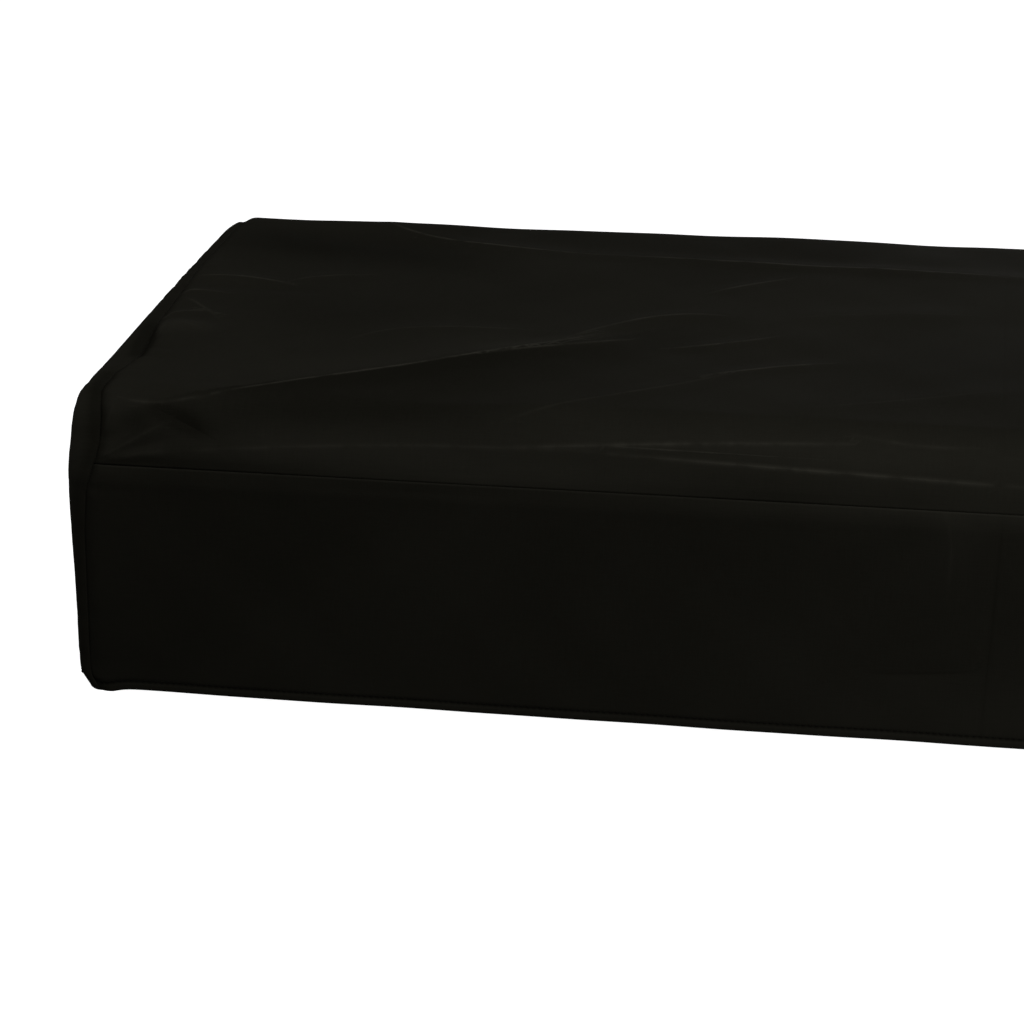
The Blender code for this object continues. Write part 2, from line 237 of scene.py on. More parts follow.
# Folds of the end panels. The places are distance from the panel's front edge and height above the hem.
END_FOLDS = (
    ("from the front corner", (0.030, 0.126), (0.064, 0.104), (0.088, 0.070), 0.0013, 0.014, 0.15),
    ("from the back corner", (0.322, 0.124), (0.296, 0.096), (0.288, 0.062), 0.0010, 0.016, 0.1),
    ("hang, front", (0.128, 0.142), (0.121, 0.098), (0.131, 0.046), 0.0009, 0.013, 0.1),
    ("hang, middle", (0.183, 0.132), (0.190, 0.082), (0.186, 0.030), -0.0008, 0.016, 0.0),
    ("hang, back", (0.246, 0.142), (0.240, 0.110), (0.243, 0.078), 0.0008, 0.012, 0.1),
    ("short slanting crease", (0.060, 0.044), (0.104, 0.036), (0.150, 0.041), 0.0005, 0.009, 0.15),
)

# Painted light and shade on the top panel: soft paler or darker patches in the places of the folds.
# Columns: name, start, middle and end, change of tone, half width, and the side that it lies on: -1 front,
# 1 back, 0 both.
TOP_LIGHT_AND_SHADE_PATCHES = (
    ("under the slanting crease", (0.030, 0.028), (0.150, 0.088), (0.290, 0.190), -0.64, 0.052, -1),
    ("front left corner", (0.014, 0.012), (0.050, 0.014), (0.100, 0.022), -0.25, 0.016, 0),
    ("back left", (0.000, 0.300), (0.070, 0.300), (0.200, 0.265), -0.52, 0.032, 0),
    ("along the back", (0.080, 0.350), (0.280, 0.325), (0.480, 0.325), -0.20, 0.022, 0),
    ("by the left end", (0.006, 0.132), (0.024, 0.141), (0.050, 0.134), 0.45, 0.010, 0),
    ("above the slanting crease", (0.040, 0.060), (0.129, 0.096), (0.215, 0.150), 0.16, 0.016, 0),
    ("left of the shoulder crease", (0.020, 0.012), (0.140, 0.012), (0.330, 0.006), 0.45, 0.011, 0),
    ("corner trough", (0.036, 0.032), (0.053, 0.024), (0.072, 0.015), -0.60, 0.004, 0),
    ("corner shade", (0.030, 0.030), (0.034, 0.022), (0.040, 0.014), -0.30, 0.008, 0),
    ("under the slanting crease, low", (0.070, 0.028), (0.150, 0.034), (0.230, 0.040), -0.28, 0.012, 0),
    ("above the front seam", (0.000, 0.000), (0.140, 0.001), (0.290, 0.000), -0.20, 0.0045, 0),
    ("right of the middle", (0.320, 0.070), (0.430, 0.110), (0.540, 0.070), -0.26, 0.065, 0),
    ("middle left", (0.050, 0.150), (0.130, 0.190), (0.220, 0.220), -0.18, 0.040, 0),
    ("end of the slanting crease", (0.178, 0.122), (0.223, 0.140), (0.262, 0.156), 0.30, 0.009, 0),
    ("along the shoulder crease", (0.230, 0.020), (0.340, 0.023), (0.480, 0.020), 0.25, 0.010, 0),
    ("under the right crease", (1.340, 0.016), (1.250, 0.056), (1.120, 0.130), -0.35, 0.034, -1),
    ("back right", (1.371, 0.300), (1.310, 0.304), (1.200, 0.276), -0.35, 0.030, 0),
)

# Painted light and shade on the front panel: soft patches in the places of its folds.
FRONT_LIGHT_AND_SHADE_PATCHES = (
    ("under the seam, left", (-0.200, 0.1170), (0.100, 0.1175), (0.420, 0.1190), -0.16, 0.010, 0),
    ("under the seam, pale", (0.320, 0.1195), (0.450, 0.1175), (0.640, 0.1195), 0.30, 0.0035, 0),
    ("by the packing crease", (0.430, 0.120), (0.425, 0.100), (0.428, 0.070), 0.18, 0.014, 0),
    ("low right", (0.340, 0.010), (0.450, 0.016), (0.600, 0.010), 0.22, 0.022, 0),
)

# Steps of each panel's grid. Columns: where a stretch ends, the step in it.
TOP_COLUMNS = (
    (0.012, 0.0012), (0.060, 0.0020), (0.480, 0.0032), (1.300, 0.0092), (1.348, 0.0034), (1.360, 0.0014),
)
TOP_ROWS = ((0.012, 0.0011), (0.070, 0.0020), (0.330, 0.0032), (0.367, 0.0020), (0.379, 0.0012))
WALL_COLUMNS = (
    (0.012, 0.0012), (0.060, 0.0025), (0.480, 0.0040), (1.300, 0.0092), (1.348, 0.0034), (1.360, 0.0014),
)
WALL_ROWS = ((0.008, 0.0005), (0.100, 0.0040), (0.118, 0.0011))
# Rings of an end panel's grid, those on its roll, and those over which its folds start inside the roll.
END_RINGS = 56
ROLL_RINGS = 14
FOLD_START_RINGS = 6
END_CORNER = 0.022

# The cloth's finish, as linear colour, and its weave.
CLOTH_DARK = (0.0088, 0.0083, 0.0060)
CLOTH_LIGHT = (0.0205, 0.0195, 0.0150)
# Paler colour on the crests of the sharp folds: wear, and a painted highlight.
CLOTH_WORN_AND_HIGHLIT = (0.0400, 0.0380, 0.0300)
THREAD_COLOUR = (0.0070, 0.0066, 0.0052, 1.0)
CLOTH_ROUGHNESS = 0.82
CLOTH_SPECULAR = 0.02
SHEEN_WEIGHT = 0.002
SHEEN_ROUGHNESS = 0.45
SHEEN_TINT = (1.0, 0.96, 0.84, 1.0)
WEAVE_THREAD = 0.00055
WEAVE_HEIGHT = 0.000007
SLUB_HEIGHT = 0.000020
SLUB_SCALES = (1400.0, 90.0)
CLOUD_SCALE = 7.0
CLOUD_SHARE = 0.6
SLUB_SHARE = 0.25
# Share of painted shade in the troughs of the sharp folds, towards the dark tone.
TROUGH_SHADE_SHARE = 0.8
LINT_SCALE = 16.0
LINT_SIZE = 0.0007
LINT_SHARE = 0.6
LINT_COLOUR = (0.06, 0.06, 0.052)
# The crests of the sharp folds, and the patches in which they are paler, from wear and a painted highlight:
# scale, contrast, threshold.
CREST_WIDTH = 0.0023
CREST_HEIGHT = 0.00030
WORN_HIGHLIGHT_PATCHES = (90.0, 3.2, 0.85)
THREAD_TWIST_SCALE = 2600.0
THREAD_TWIST = (0.6, 0.00005)

# The camera's place, its angles in degrees, and its lens in millimetres on a 36 mm sensor.
CAMERA_PLACE = (-0.26866, -1.44529, 0.45767)
CAMERA_AZIMUTH = 8.89
CAMERA_ELEVATION = 21.23
CAMERA_LENS = 102.63
CAMERA_SENSOR = 36.0

# The studio. Columns of the lights: name, place, what it points at, size, power in watts.
FLOOR_Z = HEM_Z - 0.0015
FLOOR_RADIUS = 9.0
FLOOR_SIDES = 64
WALL_HEIGHT = 6.0
FLOOR_COLOUR = (0.50, 0.50, 0.50, 1.0)
FLOOR_GLOW = 1.00
LIGHTS = (
    ("key", (-0.38, -1.00, 2.50), (-0.10, 0.0, 0.0), 1.60, 36.5),
    ("front_right", (0.18, -0.70, 0.26), (0.25, 0.0, -0.05), 0.40, 1.5),
    ("low_right", (0.55, -0.85, 0.03), (0.35, 0.0, -0.08), 0.35, 1.2),
    ("front_left", (-0.75, -1.60, 0.30), (-0.30, 0.0, -0.05), 0.90, 0.3),
    ("left_fill", (-2.60, 0.20, 0.12), (-0.50, 0.0, -0.05), 1.00, 7.0),
    ("right_fill", (2.60, 0.20, 0.12), (0.50, 0.0, -0.05), 1.00, 7.0),
    ("back_fill", (0.20, 2.60, 0.12), (0.0, 0.0, -0.05), 1.00, 9.0),
)
WORLD_COLOUR = (1.0, 1.0, 1.0, 1.0)
WORLD_STRENGTH = 0.03

# Seeds of the random draws: the panels, and the puckers along the two long seams.
SEED = 20
FRONT_SEAM_SEED = 31
BACK_SEAM_SEED = 32


def walk(turn):
    """Distance, run, rise and heading along one turn of the cloth."""
    far, headings = np.array(turn, float).T
    distance = np.arange(0, far[-1] + WALK_STEP / 2, WALK_STEP)
    middle = np.radians(np.interp(distance[:-1] + WALK_STEP / 2, far, headings))
    run = np.concatenate([[0], np.cumsum(np.sin(middle)) * WALK_STEP])
    rise = np.concatenate([[0], np.cumsum(np.cos(middle)) * WALK_STEP])
    return distance, run, rise, np.interp(distance, far, headings)


def cross_section():
    """The cloth's line from the front hem over the top to the back hem, and its two long seams."""
    front, front_run, front_rise, front_heading = walk(FRONT_TURN)
    back, back_run, back_rise, back_heading = walk(BACK_TURN)
    wall = HEIGHT - front_rise[-1]
    flat = DEPTH - front_run[-1] - back_run[-1]
    back_start = wall + front[-1] + flat
    total = back_start + back[-1] + HEIGHT + back_rise[-1]
    line = {
        "distance": np.concatenate([[0], wall + front, back_start + back, [total]]),
        "y": np.concatenate([[0], front_run, front_run[-1] + flat + back_run, [DEPTH]]) - DEPTH / 2,
        "z": np.concatenate([[0], wall + front_rise, HEIGHT + back_rise, [0]]) + HEM_Z,
        "heading": np.radians(np.concatenate([[0], front_heading, back_heading, [180]])),
    }
    places = {
        "front_seam": wall + FRONT_SEAM_IN_TURN,
        "back_seam": back_start + BACK_SEAM_IN_TURN,
        "back_hem": total,
    }
    return line, places


LINE, PLACE = cross_section()


def on_line(distance, inward=0.0):
    """Depth and height of points of the cross-section, moved inward from the cloth's outer face."""
    y = np.interp(distance, LINE["distance"], LINE["y"])
    z = np.interp(distance, LINE["distance"], LINE["z"])
    heading = np.interp(distance, LINE["distance"], LINE["heading"])
    return y + inward * np.cos(heading), z - inward * np.sin(heading)


def end_x(z):
    """Half the cover's length at this height."""
    above_hem = z - HEM_Z
    tuck = TUCK * np.maximum(0.0, 1 - above_hem / TUCK_RISE) ** TUCK_POWER
    return LENGTH / 2 - END_LEAN * above_hem / HEIGHT - tuck


def seam_inset(distance):
    """How far in from the cover's end the end seam lies at this place."""
    across, inset = np.array(END_SEAM).T
    return np.interp(distance - PLACE["front_seam"], across, inset)


def seam_draw(distance):
    """How much the end seam draws the cloth in at this place, 0 to 1."""
    across, share = np.array(END_SEAM_DRAW).T
    return np.interp(distance - PLACE["front_seam"], across, share)


def graded(spans):
    """Places from 0 on, with the step of each stretch."""
    places = [0.0]
    for end, step in spans:
        count = max(1, round((end - places[-1]) / step))
        places.extend(np.linspace(places[-1], end, count + 1)[1:])
    return np.array(places)


def stretched(spans, start, end):
    """The graded places, stretched to run from start to end."""
    places = graded(spans)
    return start + places / places[-1] * (end - start)


def fold_line(start, middle, end):
    """Points on the curve that passes through a fold's three places."""
    t = np.linspace(0, 1, FOLD_STEPS)[:, None]
    start, middle, end = (np.array(place) for place in (start, middle, end))
    pull = 2 * middle - (start + end) / 2
    return (1 - t) ** 2 * start + 2 * t * (1 - t) * pull + t**2 * end


def to_fold(line, along, across):
    """Distance to a fold's line, its side, -1 or 1, and the share of its length at the nearest point."""
    best = np.full(along.shape, np.inf)
    side = np.ones(along.shape)
    share = np.zeros(along.shape)
    for step, (a, b) in enumerate(zip(line[:-1], line[1:])):
        way = b - a
        t = np.clip(((along - a[0]) * way[0] + (across - a[1]) * way[1]) / (way @ way), 0, 1)
        dx, dy = along - a[0] - t * way[0], across - a[1] - t * way[1]
        away = np.hypot(dx, dy)
        nearer = away < best
        best = np.where(nearer, away, best)
        side = np.where(nearer, np.where(way[0] * dy - way[1] * dx < 0, -1.0, 1.0), side)
        share = np.where(nearer, (step + t) / (len(line) - 1), share)
    return best, side, share


def folded(folds, along, across):
    """Lift of a panel's folds, and for the bump, the painted crest highlight and the painted trough shade the
    distance to the nearest crest, with its side as sign, and the crest's sharpness.
    """
    lift = np.zeros(along.shape)
    nearest = np.full(along.shape, CREST_REACH)
    crest_side = np.full(along.shape, CREST_REACH)
    crest_force = np.zeros(along.shape)
    for _, start, middle, end, height, half_width, sharpness in folds:
        away, side, share = to_fold(fold_line(start, middle, end), along, across)
        taper = np.sin(np.pi * np.clip(share, *FOLD_TAPER)) ** 0.5
        lift += height * taper * np.exp(-((away / half_width) ** 2))
        nearer = (away < nearest) & (sharpness > 0)
        nearest = np.where(nearer, away, nearest)
        crest_side = np.where(nearer, away * side, crest_side)
        crest_force = np.where(nearer, math.copysign(sharpness, height) * taper, crest_force)
    inner, outer = CREST_EDGE
    crest_force *= np.clip((outer - nearest) / (outer - inner), 0, 1)
    return lift, crest_side, crest_force


def paint_light_and_shade(shading_patches, along, across):
    """Painted light and shade at each point of a panel, as change of tone."""
    change = np.zeros(along.shape)
    for _, start, middle, end, most, half_width, only in shading_patches:
        away, side, share = to_fold(fold_line(start, middle, end), along, across)
        taper = np.sin(np.pi * share)
        if only:
            right_side = np.where(side * math.copysign(1.0, end[0] - start[0]) == only, 1.0, 0.0)
            change += most * taper * right_side * np.exp(-away / half_width)
        else:
            change += most * taper * np.exp(-((away / half_width) ** 2))
    return change


def sags(x, across):
    """Low uneven swells of the cloth between its folds."""
    return sum(
        height * np.sin(2 * np.pi * x / wave_along + phase) * np.cos(2 * np.pi * across / wave_across + phase)
        for height, wave_along, wave_across, phase in SAGS
    )


def pucker(along, seed):
    """Uneven little waves along a seam, from -1 to 1."""
    random = np.random.default_rng(seed)
    wave = sum(
        share * np.sin(2 * np.pi * along / length + random.uniform(0, 2 * np.pi))
        for length, share in PUCKER_WAVES
    )
    swing = np.sin(2 * np.pi * along / PUCKER_GROUPS + random.uniform(0, 2 * np.pi))
    groups = 1 - PUCKER_GROUP_DEPTH + PUCKER_GROUP_DEPTH * swing
    return wave * groups / 2


def pucker_fade(away):
    """Share of a pucker's height at this distance from its seam."""
    return np.exp(-away / PUCKER_REACH) * np.minimum(1.0, away / PUCKER_START)


def seam_dip(depth, away):
    """How far a seam is drawn in at this distance from it."""
    return depth * np.exp(-((away / SEAM_REACH) ** 2))


def hem_droop(x, y, z):
    """The hem hangs a little lower near each front corner."""
    at, drop, half_width = HEM_DROOP
    corner = np.hypot(LENGTH / 2 - at - np.abs(x), y + DEPTH / 2)
    return drop * np.exp(-((corner / half_width) ** 2)) * np.clip(1 - (z - HEM_Z) / HEM_DROOP_RISE, 0, 1)


def round_corners(x, y):
    """Moves points in from the square back corners of the plan to rounded ones."""
    along, deep = BACK_CORNER
    u = np.maximum(0.0, np.abs(x) - LENGTH / 2 + along) / along
    v = np.maximum(0.0, y - DEPTH / 2 + deep) / deep
    pull = 1 - np.maximum(u, v) / np.maximum(np.hypot(u, v), 1e-9)
    return x - np.sign(x) * along * u * pull, y - deep * v * pull


def hem_dent(to_hem):
    """The line of stitches draws the cloth in above the hem."""
    return STITCH_DENT * np.exp(-(((to_hem - HEM_STITCH) / STITCH_DENT_WIDTH) ** 2))


def wall_grid(columns, distance, folds, fold_zero, seed, hem=None, shading_patches=()):
    """Grid of the front, top or back panel: a row for each distance along the cross-section."""
    share, distance = np.meshgrid(2 * columns / columns[-1] - 1, distance)
    half = end_x(on_line(distance)[1]) - seam_inset(distance)
    x = share * half
    from_end = half - np.abs(x)
    to_front = np.abs(distance - PLACE["front_seam"])
    to_back = np.abs(distance - PLACE["back_seam"])
    to_long = np.minimum(to_front, to_back)
    lift, crest_side, crest_force = folded(folds, x + LENGTH / 2, np.abs(distance - fold_zero))
    lift += sags(x, distance - PLACE["front_seam"])
    lift *= np.minimum(1.0, np.minimum(from_end, to_long) / LIFT_START)
    ends = np.where(x < 0, pucker(distance, seed), pucker(distance, seed + 1))
    longs = np.where(to_front < to_back, pucker(x, FRONT_SEAM_SEED), pucker(x, BACK_SEAM_SEED))
    lift += END_SEAM_PUCKER * ends * pucker_fade(from_end) + LONG_SEAM_PUCKER * longs * pucker_fade(to_long)
    if hem is not None:
        lift -= hem_dent(np.abs(distance - hem))
    draw = seam_draw(distance)
    dip = seam_dip(np.interp(draw, (0, 1), END_SEAM_DIP), from_end) + seam_dip(LONG_SEAM_DIP, to_long)
    y, z = on_line(distance, dip - lift)
    z -= hem_droop(x, y, z)
    cloth = np.stack([x + LENGTH / 2, distance], axis=-1)
    # Painted light and shade of the patches, and painted shade along the end seams.
    painted_light_and_shade = paint_light_and_shade(shading_patches, cloth[..., 0], np.abs(distance - fold_zero))
    painted_light_and_shade -= END_SEAM_SHADE * draw * np.exp(-((from_end / SHADE_REACH) ** 2))
    x, y = round_corners(x, y)
    return {
        "points": np.stack([x, y, z], axis=-1),
        "cloth": cloth,
        "crest_side": crest_side,
        "crest_force": crest_force,
        "painted_light_and_shade": painted_light_and_shade,
    }


def rim_distance(a, b, ring):
    """Where points of a ring of an end panel meet the cross-section."""
    low = HEM_RADIUS
    front_corner = PLACE["front_seam"] + END_CORNER
    back_corner = PLACE["back_seam"] - END_CORNER
    front = low + b / ring * (front_corner - low)
    back = PLACE["back_hem"] - low - b / ring * (PLACE["back_hem"] - low - back_corner)
    top = front_corner + (a / ring + 1) / 2 * (back_corner - front_corner)
    return np.where(b >= np.abs(a), top, np.where(a < 0, front, back))


def inside_roll(a, b):
    """Points of the flat of an end panel, between the four sides of the roll's inner edge."""

    def edge(a, b):
        return np.array(on_line(rim_distance(a, b, 1.0), ROLL_DROP))

    u = (a + 1) / 2
    one = np.ones_like(a)
    across = (1 - u) * edge(-one, b) + u * edge(one, b)
    across_top = (1 - u) * edge(-one, one) + u * edge(one, one)
    return across + b * (edge(a, one) - across_top)


def end_grid(side, seed):
    """Grid of an end panel: rows from the hem up, columns from front to back. The roll is its outer rings."""
    steps = np.arange(-END_RINGS, END_RINGS + 1) / END_RINGS
    a, b = np.meshgrid(steps, steps[END_RINGS:])
    ring = np.maximum(np.maximum(np.abs(a), b), 1e-6)
    flat_ring = 1 - ROLL_RINGS / END_RINGS
    distance = rim_distance(a, b, ring)
    roll = np.clip((1 - ring) / (1 - flat_ring), 0, 1) * np.pi / 2
    inset = seam_inset(distance)
    away = inset * np.sin(roll)
    puckers = END_SEAM_PUCKER * pucker(distance, seed) * pucker_fade(away)
    to_long = np.minimum(np.abs(distance - PLACE["front_seam"]), np.abs(distance - PLACE["back_seam"]))
    draw = seam_draw(distance)
    dip = seam_dip(np.interp(draw, (0, 1), END_SEAM_DIP), away)
    dip += seam_dip(LONG_SEAM_DIP, to_long) * np.cos(roll)
    y, z = on_line(distance, ROLL_DROP * (1 - np.cos(roll)) + dip - puckers * np.cos(roll))
    flat_y, flat_z = inside_roll(np.clip(a / flat_ring, -1, 1), np.clip(b / flat_ring, 0, 1))
    flat = ring < flat_ring
    y, z = np.where(flat, flat_y, y), np.where(flat, flat_z, z)
    lift, crest_side, crest_force = folded(END_FOLDS, y + DEPTH / 2, z - HEM_Z)
    rolled = np.clip((flat_ring - ring) * END_RINGS / FOLD_START_RINGS, 0, 1)
    lift = (lift + sags(y, z)) * rolled + puckers * np.sin(roll) - hem_dent(z - HEM_Z) * np.sin(roll)
    corner = np.hypot(y + DEPTH / 2 - BULGE_PLACE[0], z - OUTER_TOP + BULGE_PLACE[1])
    bulge = CORNER_BULGE * np.exp(-((corner / BULGE_REACH) ** 2)) * (1 - np.cos(roll))
    bulge += END_BOW * np.clip(1 - (2 * y / DEPTH) ** 2, 0, 1) * np.sin(roll)
    x = side * (end_x(z) + bulge + lift - inset * (1 - np.sin(roll)))
    z -= hem_droop(x, y, z)
    cloth = np.stack([y + DEPTH / 2, z - HEM_Z], axis=-1)
    # Painted shade beside the end seam, on the roll.
    on_roll, roll_reach = SHADE_ON_ROLL
    x, y = round_corners(x, y)
    return {
        "points": np.stack([x, y, z], axis=-1),
        "cloth": cloth,
        "crest_side": crest_side,
        "crest_force": crest_force * rolled,
        "painted_light_and_shade": -END_SEAM_SHADE * draw * np.exp(-(((away - on_roll) / roll_reach) ** 2)) * np.cos(roll),
    }


def outward_way(row, outward):
    """Level direction out of a panel at each point of one of its rows."""
    along = np.gradient(row[:, :2], axis=0)
    along /= np.linalg.norm(along, axis=1)[:, None]
    out = np.stack([along[:, 1], -along[:, 0]], axis=1)
    if (out @ np.array(outward[:2])).mean() < 0:
        out = -out
    return np.column_stack([out, np.zeros(len(out))])


def turn_up_hem(grid, outward):
    """Adds the rows that carry a panel round the fold of its hem and up inside."""
    row = grid["points"][0]
    out = outward_way(row, outward)
    turn = [(HEM_RADIUS * (1 - math.cos(angle)), -HEM_RADIUS * math.sin(angle)) for angle in HEM_ANGLES]
    turn += [(2 * HEM_RADIUS, rise) for rise in (HEM_TURN / 3, HEM_TURN * 2 / 3, HEM_TURN)]
    places = [(0.0, 0.0), *turn]
    gone = np.cumsum([math.dist(p, q) for p, q in zip(places[:-1], places[1:])])
    rows = [row - out * inside + (0, 0, rise) for inside, rise in turn]
    cloth = [grid["cloth"][0] - (0, far) for far in gone]
    pad = ((len(turn), 0), (0, 0))
    return {
        "points": np.concatenate([rows[::-1], grid["points"]]),
        "cloth": np.concatenate([cloth[::-1], grid["cloth"]]),
        "crest_side": np.pad(grid["crest_side"], pad, constant_values=CREST_REACH),
        "crest_force": np.pad(grid["crest_force"], pad),
        "painted_light_and_shade": np.pad(grid["painted_light_and_shade"], pad),
    }


def panel(name, grid, outward, material):
    """A panel as a sheet of cloth: its grid of points, given the cloth's thickness inward."""
    points = grid["points"]
    rows, columns = points.shape[:2]
    index = np.arange(rows * columns).reshape(rows, columns)
    faces = np.stack([index[:-1, :-1], index[:-1, 1:], index[1:, 1:], index[1:, :-1]], axis=-1).reshape(-1, 4)
    flat_points = points.reshape(-1, 3)
    across = flat_points[faces[:, 2]] - flat_points[faces[:, 0]]
    along = flat_points[faces[:, 3]] - flat_points[faces[:, 1]]
    if (np.cross(across, along) @ np.array(outward)).sum() < 0:
        faces = faces[:, ::-1]
    mesh = bpy.data.meshes.new(name)
    mesh.from_pydata(flat_points.tolist(), [], faces.tolist())
    uv = mesh.uv_layers.new(name="cloth")
    uv.data.foreach_set("uv", grid["cloth"].reshape(-1, 2)[faces.reshape(-1)].reshape(-1))
    for key in ("crest_side", "crest_force", "painted_light_and_shade"):
        mesh.attributes.new(key, "FLOAT", "POINT").data.foreach_set("value", grid[key].reshape(-1))
    mesh.shade_smooth()
    mesh.materials.append(material)
    obj = bpy.data.objects.new(name, mesh)
    bpy.context.scene.collection.objects.link(obj)
    thickness = obj.modifiers.new("thickness", "SOLIDIFY")
    thickness.thickness = CLOTH
    thickness.offset = -1
    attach(obj, "root")
    return obj


def hem_stitches(name, grid, outward, material, seed):
    """The stitches of a hem: short bars of thread whose ends go into the cloth."""
    heights = grid["points"][:, 0, 2]
    row = int(np.abs(heights - HEM_Z - HEM_STITCH)[HEM_ROWS:].argmin()) + HEM_ROWS
    line = grid["points"][row]
    out = outward_way(line, outward)
    gone = np.concatenate([[0], np.cumsum(np.linalg.norm(np.diff(line, axis=0), axis=1))])
    random = np.random.default_rng(seed)
    starts = np.arange(STITCH_PITCH, gone[-1] - STITCH_PITCH, STITCH_PITCH)
    verts, faces = [], []
    round_steps = np.linspace(0, 2 * math.pi, STITCH_SIDES, endpoint=False)
    for start in starts:
        length = STITCH_LENGTH * random.uniform(*STITCH_SPREAD)
        base = len(verts)
        for share, fat in STITCH_PROFILE:
            at = start + share * length
            centre = np.array([np.interp(at, gone, line[:, axis]) for axis in range(3)])
            way = np.array([np.interp(at, gone, out[:, axis]) for axis in range(3)])
            radius = STITCH_RADIUS * fat
            centre = centre + way * (STITCH_RADIUS * (2 * fat - STITCH_SINK))
            for angle in round_steps:
                verts.append(centre + way * (radius * math.cos(angle)) + (0, 0, radius * math.sin(angle)))
        for ring in range(len(STITCH_PROFILE) - 1):
            for k in range(STITCH_SIDES):
                after = (k + 1) % STITCH_SIDES
                low, high = base + ring * STITCH_SIDES, base + (ring + 1) * STITCH_SIDES
                faces.append((low + k, low + after, high + after, high + k))
        faces.append(tuple(base + k for k in reversed(range(STITCH_SIDES))))
        faces.append(tuple(high + k for k in range(STITCH_SIDES)))
    mesh = bpy.data.meshes.new(name)
    mesh.from_pydata([tuple(v) for v in verts], [], faces)
    mesh.shade_smooth()
    mesh.materials.append(material)
    obj = bpy.data.objects.new(name, mesh)
    bpy.context.scene.collection.objects.link(obj)
    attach(obj, "root")
    return obj


class Nodes:
    """Short calls for building a material's nodes."""

    def __init__(self, tree):
        self.tree = tree

    def put(self, socket, value):
        if isinstance(value, bpy.types.NodeSocket):
            self.tree.links.new(value, socket)
        else:
            socket.default_value = value

    def new(self, kind, inputs=(), **settings):
        node = self.tree.nodes.new(kind)
        for name, value in settings.items():
            setattr(node, name, value)
        for key, value in dict(inputs).items():
            self.put(node.inputs[key], value)
        return node

    def math(self, operation, a, b=0.0, clamp=False):
        return self.new("ShaderNodeMath", {0: a, 1: b}, operation=operation, use_clamp=clamp).outputs[0]

    def noise(self, vector, scale, detail=2.0, roughness=0.5):
        inputs = {"Vector": vector, "Scale": scale, "Detail": detail, "Roughness": roughness}
        return self.new("ShaderNodeTexNoise", inputs).outputs["Fac"]

    def scaled(self, vector, factors):
        return self.new("ShaderNodeVectorMath", {0: vector, 1: factors}, operation="MULTIPLY").outputs[0]

    def mix(self, factor, a, b):
        node = self.new("ShaderNodeMix", data_type="RGBA")
        self.put(node.inputs[0], factor)
        self.put(node.inputs[6], a)
        self.put(node.inputs[7], b)
        return node.outputs[2]


